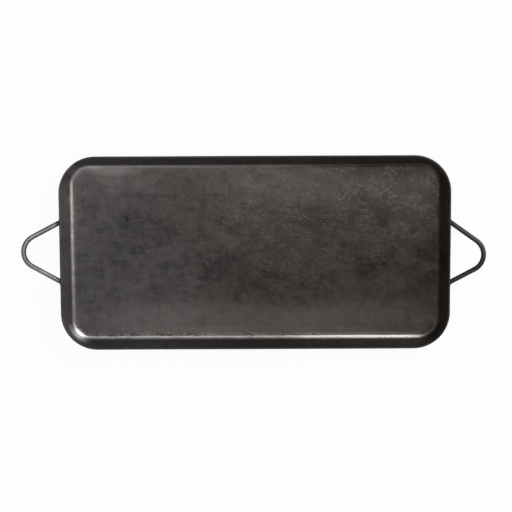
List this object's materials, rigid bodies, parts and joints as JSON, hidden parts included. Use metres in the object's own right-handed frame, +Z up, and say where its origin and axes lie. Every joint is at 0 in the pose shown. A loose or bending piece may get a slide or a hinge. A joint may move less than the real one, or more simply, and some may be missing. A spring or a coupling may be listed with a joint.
{
  "type": "camp griddle plate",
  "caption": "Shallow rectangular steel griddle tray with rounded corners, a raised leaning rim and a welded round-bar loop handle at each end, for cooking over a camp stove or fire.",
  "frame": {"origin": "middle of the tray's flat underside", "axes": "+X along the tray towards the right handle, +Y across it towards the rear, +Z up out of the cooking face"},
  "size_m": [0.5985, 0.252, 0.0371],
  "materials": {
    "seasoned_sheet": "dark seasoned carbon steel, satin, mottled and scuffed",
    "worn_bar": "bare steel bar worn bright",
    "dark_bar": "steel bar with dark mill scale",
    "weld_metal": "dark weld bead, rippled"
  },
  "bodies": {
    "root": {"griddle_plate": "seasoned_sheet", "left_handle": "worn_bar", "right_handle": "dark_bar", "left_rear_weld": "weld_metal", "left_front_weld": "weld_metal", "right_rear_weld": "weld_metal", "right_front_weld": "weld_metal"}
  },
  "joints": []
}
